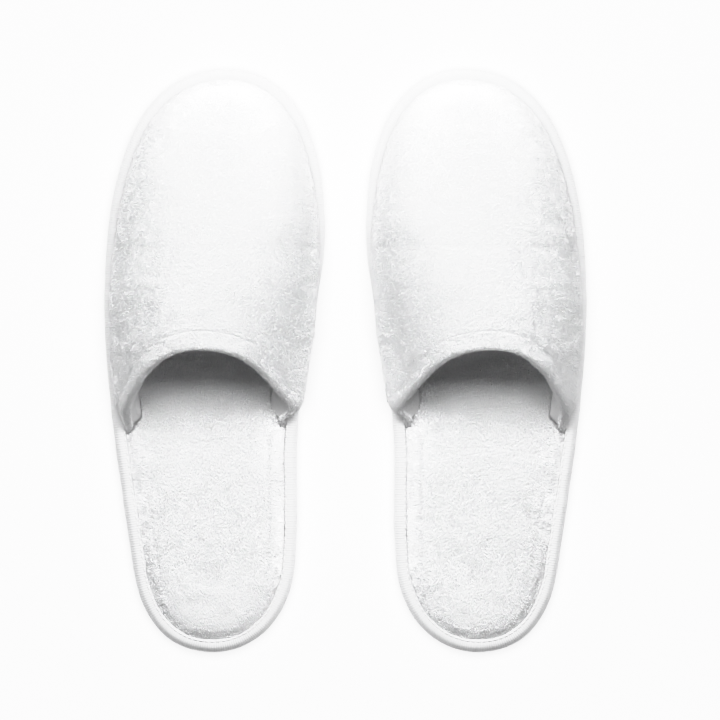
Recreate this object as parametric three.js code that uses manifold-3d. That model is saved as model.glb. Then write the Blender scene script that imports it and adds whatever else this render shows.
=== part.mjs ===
// A pair of closed-toe spa slippers, lying side by side with their toes towards +Y.
// Each slipper is a laminated sole (outsole, sponge, plush insole) whose edge is wrapped by a knitted
// binding, and an upper of plush, sponge and lining that ends in a turned hem at the throat.
// The sole bends on a line behind the upper, so every sole layer has a fore part and a heel part.
// Millimetres, +Z up. The origin is on the floor, midway between the slippers and along their length.
import * as THREE from "three";
import { mergeVertices } from "three/addons/utils/BufferGeometryUtils.js";
import Module from "manifold-3d";

const wasm = await Module();
wasm.setup();

// ---------- Driving sizes ----------
const soleLength = 285;
const ballWidth = 108;
const heelWidth = 80;
const toeLean = 5; // the toe's tip lies this far to the inner side of the slipper's axis
const heelLean = 1; // and the heel's end this far to the outer side
const pairGap = 20; // between the two slippers where they are widest
const clearance = 0.3; // between pieces that lie face to face

const tapeThickness = 1.0; // knitted edge binding
const tapeLip = 6.5; // how far the binding reaches in over the sole, above and below
const edgeRound = 3.2; // how far the binding's outer edge rounds over
const outsoleThickness = 3.5;
const spongeThickness = 2.0;
const insoleEdgeThickness = 1.8; // the insole's plush where the binding presses it flat
const insolePile = 2.6; // how far the free pile stands above that edge
const insoleBevel = 1.6;

const studRadius = 2.6;
const studTaper = 0.8; // a stud's tip against its root
const studPitch = 20;
const studMargin = 8; // from the binding's inner edge to the nearest stud centre

const threadWidth = 0.8;
const threadHeight = 0.6;
const seamMargin = 0.5; // from the binding's seam to the inner edge of its lip

const plushThickness = 2.8;
const upperSponge = 1.6;
const liningThickness = 0.8;
const marginThickness = 0.8; // the upper's lasting margin, pressed flat under the binding
const marginSetback = 0.6; // from the binding's fold to the margin's edge
const neckHeight = 0.6; // the upper stands straight up this far past the binding

const toeHeight = 20; // the dome's height above the sole at the toe
const throatHeight = 43; // and at the throat
const toeReach = 52; // how far back the toe's cap runs before the upper has a straight crown
const squareness = 2.4; // superellipse exponent of the upper's cross-section
const throatEase = 0.3; // and how much less it is at the throat
const innerSwell = 9.2; // how far the upper swells out over the binding beside the throat
const outerSwell = 4.4;
const swellLevel = 0.14; // it swells most at this share of the crown's height
const swellReach = 36; // from the crown to where the upper swells in full
const tipGrowth = [2, 16]; // the swell grows from nothing to full between these distances from the wings' ends
const crownLean = 3.0; // the crown lies this far towards the inner side at the toe
const throatLean = -5.0; // and this far at the throat, where it lies towards the outer side

const throatSetback = 131; // from the toe's tip to the crown of the throat's edge
const wingLength = 46; // how far the upper's wings run on towards the heel
const wingSkew = 4; // the inner wing ends this much nearer to the toe
const hemDepth = 4; // the turned edge beyond the upper's other layers
const facingDepth = 14; // how far the turned plush reaches back inside
const facingThickness = 1.6;
const hemSeamMargin = 2.2; // from the hem's seam to the facing's inner edge

const flexSetback = 18; // from the ends of the wings to the line on which the sole bends

// ---------- Levels and places that follow from them ----------
const outsoleBottom = tapeThickness + clearance;
const spongeBottom = outsoleBottom + outsoleThickness + clearance;
const insoleBottom = spongeBottom + spongeThickness + clearance;
const insoleEdgeTop = insoleBottom + insoleEdgeThickness;
const lipBottom = insoleEdgeTop + clearance;
const soleTop = lipBottom + tapeThickness;
const seamInset = tapeLip - seamMargin - threadWidth;
const coreInset = tapeThickness + clearance; // the sole's layers, inside the binding
const upperInset = tapeLip + clearance; // the upper's outer face, inside the binding's lip
const marginBottom = insoleEdgeTop - marginThickness;
const neckTop = soleTop + neckHeight;
const foamDepth = plushThickness + clearance;
const liningDepth = foamDepth + upperSponge + clearance;
const upperThickness = liningDepth + liningThickness;
const facingNear = upperThickness + clearance;
const facingFar = facingNear + facingThickness;
const hemSeamNear = facingFar + clearance;
const hemSeamFar = hemSeamNear + threadHeight;
const hemSeamDepth = facingDepth - hemSeamMargin - threadWidth;
const hemLine = hemDepth + clearance; // where the upper's other layers end

const throatY = soleLength - throatSetback;
const wingY = throatY - wingLength;
const flexY = wingY - flexSetback;
const spineFront = soleLength - toeReach;
const spineBack = heelWidth / 2;

const HALF_STATIONS = 26; // points along each side of the outline
const DOME_RINGS = 6; // steps from the foot of the upper's wall to its crown
const EDGE_STEPS = 2; // steps in a rounded edge
const STUD_SIDES = 6;
const PAST = 1; // how far a cutting solid runs past what it cuts
const FAR = 400; // longer than any slipper

// ---------- Solids ----------
function solidOf(geometry) {
  const bare = geometry.clone();
  for (const name of Object.keys(bare.attributes)) {
    if (name !== "position") bare.deleteAttribute(name);
  }
  const merged = mergeVertices(bare, 1e-4);
  const index = merged.index.array;
  const kept = [];
  for (let i = 0; i < index.length; i += 3) {
    const [a, b, c] = [index[i], index[i + 1], index[i + 2]];
    if (a !== b && b !== c && c !== a) kept.push(a, b, c);
  }
  const vertProperties = new Float32Array(merged.attributes.position.array);
  return new wasm.Manifold(new wasm.Mesh({ numProp: 3, vertProperties, triVerts: new Uint32Array(kept) }));
}

function geometryOf(solid) {
  const { vertProperties, triVerts, numProp } = solid.getMesh();
  const positions = new Float32Array((vertProperties.length / numProp) * 3);
  for (let i = 0; i < positions.length / 3; i++) {
    positions.set(vertProperties.subarray(i * numProp, i * numProp + 3), i * 3);
  }
  const geometry = new THREE.BufferGeometry();
  geometry.setAttribute("position", new THREE.BufferAttribute(positions, 3));
  geometry.setIndex(new THREE.BufferAttribute(new Uint32Array(triVerts), 1));
  geometry.computeVertexNormals();
  return geometry;
}

function block(low, high) {
  const size = new THREE.Vector3().subVectors(high, low);
  const centre = new THREE.Vector3().addVectors(high, low).multiplyScalar(0.5);
  return solidOf(new THREE.BoxGeometry(size.x, size.y, size.z).translate(centre.x, centre.y, centre.z));
}

// ---------- The sole's outline ----------
// A left slipper's outline, with y measured forwards from the heel: its outer side is at -x.
function halfOutline(side) {
  const ball = ballWidth / 2;
  const heel = heelWidth / 2;
  const y = (share) => share * soleLength;
  const path = new THREE.CurvePath();
  const bezier = (...points) => {
    const [a, b, c, d] = points.map(([px, py]) => new THREE.Vector2(px, py));
    path.add(new THREE.CubicBezierCurve(a, b, c, d));
  };
  const heelTip = [-heelLean, 0];
  const toeTip = [toeLean, soleLength];
  if (side === "outer") {
    const corner = [-heel * 0.99, y(0.14)];
    const widest = [-ball, y(0.604)];
    bezier(heelTip, [-heel * 0.62, 0], [-heel * 0.9, y(0.064)], corner);
    bezier(corner, [-heel * 1.14, y(0.279)], [-ball, y(0.456)], widest);
    bezier(widest, [-ball, y(0.849)], [-ball * 0.65, soleLength], toeTip);
  } else {
    const corner = [heel * 0.975, y(0.14)];
    const waist = [heel * 1.005, y(0.323)];
    const widest = [ball, y(0.719)];
    bezier(heelTip, [heel * 0.575, 0], [heel * 0.91, y(0.071)], corner);
    bezier(corner, [heel * 1.015, y(0.182)], [heel * 1.01, y(0.263)], waist);
    bezier(waist, [heel * 1.005, y(0.491)], [ball, y(0.614)], widest);
    bezier(widest, [ball, y(0.91)], [ball * 0.655, soleLength], toeTip);
  }
  return path.getSpacedPoints(HALF_STATIONS);
}

// The whole outline, from the heel up the outer side, round the toe and down the inner side.
// Point j and point (count - j) face each other across the sole.
const outline = [
  ...halfOutline("outer"),
  ...halfOutline("inner").reverse().slice(1, -1),
];
const COUNT = outline.length;

const inwards = outline.map((_, j) => {
  const along = new THREE.Vector2().subVectors(
    outline[(j + 1) % COUNT],
    outline[(j + COUNT - 1) % COUNT],
  );
  return new THREE.Vector2(along.y, -along.x).normalize();
});

const insetOutline = (inset) =>
  outline.map((p, j) => p.clone().addScaledVector(inwards[j], inset));

// Where a closed outline crosses the line at y, on its -x or +x side.
function edgeX(points, y, side) {
  let found = 0;
  points.forEach((p, j) => {
    const q = points[(j + 1) % points.length];
    if (p.y === q.y || (p.y - y) * (q.y - y) > 0) return;
    const x = p.x + ((q.x - p.x) * (y - p.y)) / (q.y - p.y);
    if (x * side > found * side) found = x;
  });
  return found;
}

function slab(inset, bottom, top) {
  const shape = new THREE.Shape(insetOutline(inset));
  const geometry = new THREE.ExtrudeGeometry(shape, { depth: top - bottom, bevelEnabled: false });
  return solidOf(geometry.translate(0, 0, bottom));
}

// A slab whose top and bottom edges round over by `round`.
function roundedSlab(inset, bottom, top, round) {
  const shape = new THREE.Shape(insetOutline(inset + round));
  const geometry = new THREE.ExtrudeGeometry(shape, {
    depth: top - bottom - 2 * round,
    bevelEnabled: true,
    bevelThickness: round,
    bevelSize: round,
    bevelSegments: EDGE_STEPS,
  });
  return solidOf(geometry.translate(0, 0, bottom + round));
}

// ---------- Sole layers ----------
// Places for the studs: staggered rows, wherever both sides of the edge binding are far enough.
function studPlaces() {
  const border = insetOutline(tapeLip + studMargin);
  const rowPitch = (studPitch * Math.sqrt(3)) / 2;
  const low = Math.min(...border.map((p) => p.y));
  const high = Math.max(...border.map((p) => p.y));
  const places = [];
  for (let row = 0, y = low + studRadius; y < high; row++, y += rowPitch) {
    const from = edgeX(border, y, -1);
    const to = edgeX(border, y, 1);
    const first = Math.ceil(from / studPitch - (row % 2) / 2);
    for (let x = (first + (row % 2) / 2) * studPitch; x <= to; x += studPitch) {
      places.push(new THREE.Vector2(x, y));
    }
  }
  return places;
}

// A stud tapers a little towards the floor and is rooted in the outsole.
function stud(place) {
  const root = outsoleThickness / 2;
  const height = outsoleBottom + root;
  const geometry = new THREE.CylinderGeometry(studRadius, studRadius * studTaper, height, STUD_SIDES);
  geometry.rotateX(Math.PI / 2).translate(place.x, place.y, height / 2);
  return solidOf(geometry);
}

// The room inside the binding, whose corners follow the binding's rounded edge.
const core = roundedSlab(coreInset, outsoleBottom, insoleEdgeTop, edgeRound - coreInset);

function outsole() {
  let sole = slab(coreInset, outsoleBottom, outsoleBottom + outsoleThickness).intersect(core);
  for (const place of studPlaces()) sole = sole.add(stud(place));
  return sole;
}

const soleSponge = () => slab(coreInset, spongeBottom, spongeBottom + spongeThickness);

// The insole's plush is pressed flat under the binding and gives way to the upper's margin.
function insoleCover() {
  const flat = slab(coreInset, insoleBottom, insoleEdgeTop).intersect(core);
  const pile = roundedSlab(upperInset, insoleBottom, insoleEdgeTop + insolePile, insoleBevel);
  return flat.add(pile);
}

function edgeBinding() {
  const wrap = roundedSlab(0, 0, soleTop, edgeRound);
  const pocket = roundedSlab(tapeThickness, tapeThickness, lipBottom, edgeRound - tapeThickness);
  const window = slab(tapeLip, -PAST, soleTop + PAST);
  return wrap.subtract(pocket).subtract(window);
}

function bindingSeam() {
  const bottom = soleTop + clearance;
  const outer = slab(seamInset, bottom, bottom + threadHeight);
  const inner = slab(seamInset + threadWidth, bottom - PAST, bottom + threadHeight + PAST);
  return outer.subtract(inner);
}

// ---------- The upper ----------
// How much of the way from the toe to the throat a point has gone, from 0 to 1.
const towardsThroat = (y) => THREE.MathUtils.clamp((soleLength - y) / throatSetback, 0, 1);

const crownHeight = (y) =>
  toeHeight + (throatHeight - toeHeight) * Math.sin((Math.PI / 2) * towardsThroat(y));

// The power that rounds the upper's wall into its crown.
function wallPower(y) {
  return 2 / (squareness - throatEase * THREE.MathUtils.smoothstep(towardsThroat(y), 0.45, 1));
}

// How far the upper swells outwards at a share of its height, for a full swell of 1.
function swellAt(rise, y) {
  const grown = THREE.MathUtils.smoothstep(y - wingY, tipGrowth[0], tipGrowth[1]);
  const level = rise / swellLevel;
  return level * Math.exp(1 - level) * (1 - rise) * grown * towardsThroat(y) ** 2;
}

// A closed dome over the sole: its base is the outline moved in by upperInset + depth, and its crown
// is `depth` below the upper's outer face. Nested domes give the upper's layers.
function dome(depth, bottom) {
  const base = insetOutline(upperInset + depth);
  const facing = (j) => (COUNT - j) % COUNT;
  const spine = base.map((p, j) => {
    const q = base[facing(j)];
    const y = THREE.MathUtils.clamp((p.y + q.y) / 2, spineBack, spineFront);
    const lean = THREE.MathUtils.lerp(crownLean, throatLean, towardsThroat(y) ** 2);
    return new THREE.Vector2((edgeX(base, y, -1) + edgeX(base, y, 1)) / 2 + lean, y);
  });
  const rings = [base.map((p) => new THREE.Vector3(p.x, p.y, bottom))];
  for (let k = 0; k <= DOME_RINGS; k++) {
    const angle = (Math.PI / 2) * (k / DOME_RINGS) ** 1.5;
    rings.push(
      base.map((p, j) => {
        const power = wallPower(spine[j].y);
        const reach = k === DOME_RINGS ? 0 : Math.cos(angle) ** power;
        const rise = Math.sin(angle) ** power;
        const x = spine[j].x + (p.x - spine[j].x) * reach;
        const y = spine[j].y + (p.y - spine[j].y) * reach;
        const sideways = THREE.MathUtils.clamp((p.x - spine[j].x) / swellReach, -1, 1);
        const swell = (sideways > 0 ? innerSwell : outerSwell) * sideways * swellAt(rise, y);
        return new THREE.Vector3(x + swell, y, neckTop + (crownHeight(y) - depth) * rise);
      }),
    );
  }
  const positions = [];
  const face = (a, b, c) => positions.push(...a.toArray(), ...b.toArray(), ...c.toArray());
  rings.slice(1).forEach((upper, k) => {
    const lower = rings[k];
    for (let j = 0; j < COUNT; j++) {
      const next = (j + 1) % COUNT;
      face(lower[j], upper[next], lower[next]);
      face(lower[j], upper[j], upper[next]);
    }
  });
  for (let j = 0; j < COUNT / 2; j++) {
    face(rings[0][j], rings[0][j + 1], rings[0][facing(j)]);
    face(rings[0][facing(j)], rings[0][j + 1], rings[0][facing(j + 1)]);
  }
  const geometry = new THREE.BufferGeometry();
  geometry.setAttribute("position", new THREE.Float32BufferAttribute(positions, 3));
  return solidOf(geometry);
}

// What lies behind the throat's edge, or behind a line `back` millimetres inside that edge: a wedge
// seen from the side, which is turned a little so that the inner wing ends sooner. Its slanted face
// runs on past the crown and the margin by half its own height.
function behindThroat(back) {
  const top = neckTop + throatHeight;
  const slope = new THREE.Vector2(throatY - wingY, top - marginBottom).normalize();
  const shift = new THREE.Vector2(slope.y, -slope.x).multiplyScalar(back);
  const at = (y, z) => new THREE.Vector2(y + shift.x, z + shift.y);
  const reach = new THREE.Vector2(throatY - wingY, top - marginBottom).multiplyScalar(0.5);
  const shape = new THREE.Shape([
    at(wingY - reach.x, marginBottom - reach.y),
    at(throatY + reach.x, top + reach.y),
    new THREE.Vector2(-FAR, top + reach.y),
    new THREE.Vector2(-FAR, marginBottom - reach.y),
  ]);
  const geometry = new THREE.ExtrudeGeometry(shape, { depth: FAR, bevelEnabled: false });
  geometry.translate(0, 0, -FAR / 2);
  geometry.applyMatrix4(new THREE.Matrix4().makeBasis(
    new THREE.Vector3(0, 1, 0),
    new THREE.Vector3(0, 0, 1),
    new THREE.Vector3(1, 0, 0),
  ));
  geometry.translate(0, -wingY, 0).rotateZ(Math.atan2(wingSkew, ballWidth)).translate(0, wingY, 0);
  return solidOf(geometry);
}

// The upper's wall between two depths, from the throat's edge to the toe.
function upperLayer(near, far, back) {
  const outer = dome(near, marginBottom);
  const inner = dome(far, marginBottom - PAST);
  return outer.subtract(inner).subtract(behindThroat(back));
}

// The strip of that wall which lies between two distances from the throat's edge.
function throatStrip(near, far, from, to) {
  return upperLayer(near, far, from).intersect(behindThroat(to));
}

// The plush runs out under the binding's lip as the lasting margin that the seam holds.
function lastingFlange(grow) {
  const edge = coreInset + marginSetback;
  const ring = slab(edge - grow, marginBottom - grow, insoleEdgeTop + grow);
  const hole = slab(upperInset + plushThickness / 2, marginBottom - PAST, insoleEdgeTop + PAST);
  return ring.subtract(hole).subtract(behindThroat(hemLine - grow));
}

const upperPlush = () =>
  upperLayer(0, plushThickness, hemLine).add(lastingFlange(0).intersect(core));
const upperFoam = () => upperLayer(foamDepth, foamDepth + upperSponge, hemLine);
const upperLining = () => upperLayer(liningDepth, upperThickness, hemLine);

// The hem fills the wall's whole thickness at the throat's edge, and its facing lies on the lining.
function throatHem() {
  const turn = throatStrip(0, facingFar, 0, hemDepth);
  const facing = throatStrip(facingNear, facingFar, 0, facingDepth);
  return turn.add(facing);
}

const hemSeam = () => throatStrip(hemSeamNear, hemSeamFar, hemSeamDepth, hemSeamDepth + threadWidth);

// The room that the insole leaves for the foot of the upper's wall and its margin.
function upperFooting() {
  const bottom = marginBottom - clearance;
  const wall = dome(-clearance, bottom).subtract(dome(hemSeamFar + clearance, bottom - PAST));
  return wall.subtract(behindThroat(-clearance)).add(lastingFlange(clearance));
}

// ---------- Materials ----------
const cloth = (color, roughness) => new THREE.MeshStandardMaterial({ color, roughness, metalness: 0 });
const materials = {
  plush: cloth(0xf1f1f3, 0.95),
  insole: cloth(0xeeeef0, 0.95),
  tape: cloth(0xf3f3f4, 0.85),
  thread: cloth(0xfafafa, 0.6),
  lining: cloth(0xe6e6e8, 0.9),
  sponge: cloth(0xf4f3ee, 0.9),
  eva: cloth(0xf0f0f0, 0.7),
};

// ---------- Assembly ----------
const aheadOfFlex = block(
  new THREE.Vector3(-FAR, flexY + clearance / 2, -FAR),
  new THREE.Vector3(FAR, FAR, FAR),
);
const behindFlex = block(
  new THREE.Vector3(-FAR, -FAR, -FAR),
  new THREE.Vector3(FAR, flexY - clearance / 2, FAR),
);

const soleLayers = [
  ["outsole", outsole(), materials.eva],
  ["sole_sponge", soleSponge(), materials.sponge],
  ["insole_cover", insoleCover().subtract(upperFooting()), materials.insole],
  ["edge_binding", edgeBinding(), materials.tape],
  ["binding_stitching", bindingSeam(), materials.thread],
];
const upperLayers = [
  ["upper_plush", upperPlush(), materials.plush],
  ["upper_sponge", upperFoam(), materials.sponge],
  ["upper_lining", upperLining(), materials.lining],
  ["throat_hem", throatHem(), materials.plush],
  ["throat_stitching", hemSeam(), materials.thread],
];

const shapes = [
  ...soleLayers.flatMap(([name, solid, material]) => [
    [`${name}_fore`, geometryOf(solid.intersect(aheadOfFlex)), material],
    [`${name}_heel`, geometryOf(solid.intersect(behindFlex)), material],
  ]),
  ...upperLayers.map(([name, solid, material]) => [name, geometryOf(solid), material]),
];

// The right slipper is the left one mirrored across the pair's middle.
function slipper(side) {
  const group = new THREE.Group();
  const mirror = side === "left" ? 1 : -1;
  for (const [name, geometry, material] of shapes) {
    const mesh = new THREE.Mesh(geometry, material);
    mesh.name = `${side}_${name}`;
    group.add(mesh);
  }
  group.scale.x = mirror;
  group.position.set((-mirror * (ballWidth + pairGap)) / 2, -soleLength / 2, 0);
  return group;
}

const pair = new THREE.Group();
pair.add(slipper("left"), slipper("right"));

export default pair;
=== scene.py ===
"""A pair of white plush closed-toe spa slippers, seen from overhead with their toes up.

Lengths are metres. The left slipper is modelled in its own frame, with y measured forwards from its
heel and its outer side at -x, and the right slipper is its mirror image.
"""
import itertools
import math

import bmesh
import bpy
import numpy as np
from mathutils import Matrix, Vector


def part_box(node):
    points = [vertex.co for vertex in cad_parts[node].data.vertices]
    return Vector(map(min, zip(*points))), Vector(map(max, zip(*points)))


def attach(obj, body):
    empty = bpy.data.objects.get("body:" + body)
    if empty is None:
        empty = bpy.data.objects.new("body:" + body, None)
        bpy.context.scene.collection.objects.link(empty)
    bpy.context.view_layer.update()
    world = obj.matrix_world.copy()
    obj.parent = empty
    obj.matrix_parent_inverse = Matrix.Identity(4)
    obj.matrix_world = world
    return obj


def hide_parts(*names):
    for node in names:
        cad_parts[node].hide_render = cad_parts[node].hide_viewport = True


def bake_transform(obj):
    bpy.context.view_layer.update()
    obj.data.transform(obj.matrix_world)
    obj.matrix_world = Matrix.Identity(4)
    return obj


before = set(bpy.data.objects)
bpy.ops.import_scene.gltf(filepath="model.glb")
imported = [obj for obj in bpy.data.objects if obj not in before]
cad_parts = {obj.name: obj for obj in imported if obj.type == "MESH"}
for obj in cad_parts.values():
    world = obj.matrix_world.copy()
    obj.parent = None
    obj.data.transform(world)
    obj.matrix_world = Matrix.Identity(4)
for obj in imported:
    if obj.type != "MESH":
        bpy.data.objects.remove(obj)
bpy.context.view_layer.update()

MM = 0.001

# ---------- Sizes that the frame gives ----------
BODIES = {side: (f"{side}_slipper_front", f"{side}_slipper_heel") for side in ("left", "right")}

tape_low, tape_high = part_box("left_edge_binding_fore")
heel_low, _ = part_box("left_edge_binding_heel")
sponge_low, sponge_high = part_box("left_sole_sponge_fore")
insole_low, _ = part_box("left_insole_cover_fore")

LENGTH = tape_high.y - heel_low.y
BALL = (tape_high.x - tape_low.x) / 2
HEEL = BALL * 80 / 108
AXIS_X = (tape_high.x + tape_low.x) / 2
HEEL_Y = heel_low.y
SOLE_TOP = tape_high.z

# ---------- Sizes of the construction ----------
TAPE = 1.0 * MM
LIP = 6.1 * MM
EDGE_ROUND = 3.6 * MM
CORE_INSET = 1.3 * MM
UPPER_INSET = 6.8 * MM  # from the sole's edge to the upper's face at its foot
SEAM_INSET = 5.4 * MM
RIB_PITCH = 1.2 * MM
OUTSOLE_BOTTOM = 1.3 * MM
OUTSOLE_TOP = sponge_low.z - 0.3 * MM
INSOLE_EDGE = insole_low.z + 1.8 * MM
MARGIN_BOTTOM = INSOLE_EDGE - 0.8 * MM
NECK_TOP = SOLE_TOP + 0.6 * MM

TOE_HEIGHT = 20 * MM
THROAT_HEIGHT = 43 * MM
SPINE_FRONT = LENGTH - 52 * MM
SPINE_BACK = 40 * MM
SQUARENESS = 2.4
THROAT_EASE = 0.3  # the upper's section is this much less square at the throat
SWELL = {-1: 4.4 * MM, 1: 9.2 * MM}  # how far each wall swells out over the binding by the throat
SWELL_LEVEL = 0.14  # and the share of its height where it swells most
TIP_GROWTH = (2 * MM, 16 * MM)  # the swell grows between these distances from the wings' ends
SWELL_REACH = 36 * MM
TOE_LEAN = 3 * MM  # the crown's line lies this far off the sole's middle at the toe
THROAT_LEAN = -5 * MM
THROAT_SETBACK = 131 * MM
WING_LENGTH = 46 * MM
WING_SKEW = math.atan2(4, 108)
THROAT_Y = LENGTH - THROAT_SETBACK
WING_Y = THROAT_Y - WING_LENGTH

GROUND = 1.3 * MM  # the plush's knitted ground lies this far under the tips of its pile
PLUSH = 2.8 * MM
SPONGE = (3.1 * MM, 4.7 * MM)
LINING = (5.0 * MM, 5.8 * MM)
FACING = (6.1 * MM, 7.7 * MM)
HEM_LINE = 4.3 * MM
FACING_DEPTH = 14 * MM
# The radius of the throat's edge and how far it leans out over the opening, each on the wings and
# over the instep.
HEM_ROUND = (1.7 * MM, 0.8 * MM)
HEM_OVERHANG = (2.6 * MM, 2.5 * MM)
TIP_TAPER = {-1: 8 * MM, 1: 15 * MM}  # how far from its tip each wing reaches its full thickness
INSIDE_UPPER = np.array([0, LENGTH * 0.6, 15 * MM])

STITCH_PITCH = 3.2 * MM
STITCH_LENGTH = 2.5 * MM
BINDING_THREAD = 0.55 * MM
HEM_THREAD = 0.5 * MM

# Each tuft's length and the radius of its root, and how many tufts each pile has.
UPPER_TUFT = (1.8 * MM, 0.4 * MM)
INSOLE_TUFT = (2.0 * MM, 0.42 * MM)
UPPER_TUFTS = 47000
HEM_TUFTS = 11000
INSOLE_TUFTS = 42000
RIM_TUFTS = 15000

HALF_POINTS = 1201  # points along each side of the sole's outline
BEZIER_POINTS = 400


# ---------- Small tools ----------
def unit(v):
    return v / np.maximum(np.linalg.norm(v, axis=-1, keepdims=True), 1e-12)


def smoothstep(low, high, x):
    t = np.clip((x - low) / (high - low), 0, 1)
    return t * t * (3 - 2 * t)


def noise(points, lump, seed):
    """Smooth noise from -1 to 1 at each point, with lumps that far apart."""
    side = 32
    lattice = np.random.default_rng(seed).uniform(-1, 1, (side, side, side))
    p = np.asarray(points) / lump + 500
    cell = np.floor(p).astype(int)
    t = p - cell
    t = t * t * (3 - 2 * t)
    total = 0
    for corner in itertools.product((0, 1), repeat=3):
        share = np.prod(np.where(corner, t, 1 - t), axis=-1)
        i = (cell + corner) % side
        total = total + share * lattice[i[..., 0], i[..., 1], i[..., 2]]
    return total


def cross_normals(grid):
    """Unit normals at the points of a grid of points, by finite differences."""
    along = np.gradient(grid, axis=0)
    across = np.gradient(grid, axis=1)
    return unit(np.cross(along, across))


def grid_faces(rows, columns, start=0, close_rows=False, close_columns=False):
    """The quads of a grid of vertices numbered row by row."""
    index = start + np.arange(rows * columns).reshape(rows, columns)
    if close_rows:
        index = np.vstack([index, index[:1]])
    if close_columns:
        index = np.hstack([index, index[:, :1]])
    corners = (index[:-1, :-1], index[1:, :-1], index[1:, 1:], index[:-1, 1:])
    return np.stack(corners, axis=-1).reshape(-1, 4)


# ---------- The sole's outline ----------
def bezier(points):
    a, b, c, d = np.array(points)
    t = np.linspace(0, 1, BEZIER_POINTS)[:, None]
    return (1 - t) ** 3 * a + 3 * (1 - t) ** 2 * t * b + 3 * (1 - t) * t * t * c + t**3 * d


def spaced(line, count):
    """The line's points, spaced evenly along it."""
    steps = np.linalg.norm(np.diff(line, axis=0), axis=1)
    travel = np.concatenate([[0], np.cumsum(steps)])
    at = np.linspace(0, travel[-1], count)
    return np.stack([np.interp(at, travel, line[:, k]) for k in range(line.shape[1])], axis=1)


def half_outline(side):
    """One side of the left sole, from its heel to its toe: side is -1 for the outer one."""
    y = LENGTH
    heel_tip = (-1 * MM, 0)
    toe_tip = (5 * MM, y)
    if side < 0:
        corner = (-HEEL * 0.99, 0.14 * y)
        widest = (-BALL, 0.604 * y)
        parts = [
            [heel_tip, (-HEEL * 0.62, 0), (-HEEL * 0.9, 0.064 * y), corner],
            [corner, (-HEEL * 1.14, 0.279 * y), (-BALL, 0.456 * y), widest],
            [widest, (-BALL, 0.849 * y), (-BALL * 0.65, y), toe_tip],
        ]
    else:
        corner = (HEEL * 0.975, 0.14 * y)
        waist = (HEEL * 1.005, 0.323 * y)
        widest = (BALL, 0.719 * y)
        parts = [
            [heel_tip, (HEEL * 0.575, 0), (HEEL * 0.91, 0.071 * y), corner],
            [corner, (HEEL * 1.015, 0.182 * y), (HEEL * 1.01, 0.263 * y), waist],
            [waist, (HEEL * 1.005, 0.491 * y), (BALL, 0.614 * y), widest],
            [widest, (BALL, 0.91 * y), (BALL * 0.655, y), toe_tip],
        ]
    return spaced(np.concatenate([bezier(p) for p in parts]), HALF_POINTS)


def inward(line, side):
    """Unit normals that point into the sole from a line that runs from heel to toe."""
    along = unit(np.gradient(line, axis=0))
    return -side * np.stack([along[:, 1], -along[:, 0]], axis=1)


HALF = {side: half_outline(side) for side in (-1, 1)}
INWARD = {side: inward(HALF[side], side) for side in (-1, 1)}
for ends in INWARD.values():
    ends[0] = (0, 1)
    ends[-1] = (0, -1)
SHARES = np.linspace(0, 1, HALF_POINTS)

LOOP = spaced(np.concatenate([HALF[-1], HALF[1][::-1], HALF[-1][:1]]), 4 * HALF_POINTS)[:-1]
_ahead = np.roll(LOOP, -1, axis=0) - np.roll(LOOP, 1, axis=0)
LOOP_INWARD = unit(np.stack([_ahead[:, 1], -_ahead[:, 0]], axis=1))
LOOP_LENGTH = np.linalg.norm(np.roll(LOOP, -1, axis=0) - LOOP, axis=1).sum()


def around(count):
    """Points of the outline and their inward normals at `count` even steps from the heel, clockwise."""
    at = np.arange(count) / count * len(LOOP)
    index = np.arange(len(LOOP) + 1)
    closed = np.vstack([LOOP, LOOP[:1]])
    normals = np.vstack([LOOP_INWARD, LOOP_INWARD[:1]])
    p = np.stack([np.interp(at, index, closed[:, k]) for k in (0, 1)], axis=1)
    n = np.stack([np.interp(at, index, normals[:, k]) for k in (0, 1)], axis=1)
    return p, unit(n)


def spine_x(y):
    """The middle of the sole at y."""
    edges = [np.interp(y, HALF[side][:, 1], HALF[side][:, 0]) for side in (-1, 1)]
    return (edges[0] + edges[1]) / 2


def spine_y(y):
    """y kept between the ends of the spine, easing into each end."""
    ease = 6 * MM
    held = SPINE_BACK + ease * np.logaddexp(0, (y - SPINE_BACK) / ease)
    return SPINE_FRONT - ease * np.logaddexp(0, (SPINE_FRONT - held) / ease)


# ---------- Meshes ----------
made = {"left": [], "right": []}


def new_object(name, vertices, face_sets):
    """An object from arrays of vertices and of faces, with one array for each size of face."""
    mesh = bpy.data.meshes.new(name)
    loops = np.concatenate([f.ravel() for f in face_sets]).astype(np.int32)
    sizes = np.concatenate([np.full(len(f), f.shape[1]) for f in face_sets])
    starts = np.concatenate([[0], np.cumsum(sizes)[:-1]]).astype(np.int32)
    mesh.vertices.add(len(vertices))
    mesh.vertices.foreach_set("co", np.asarray(vertices, np.float32).ravel())
    mesh.loops.add(len(loops))
    mesh.loops.foreach_set("vertex_index", loops)
    mesh.polygons.add(len(sizes))
    mesh.polygons.foreach_set("loop_start", starts)
    mesh.update(calc_edges=True)
    mesh.validate()
    mesh.shade_smooth()
    piece = bpy.data.objects.new(name, mesh)
    bpy.context.scene.collection.objects.link(piece)
    return piece


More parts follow.
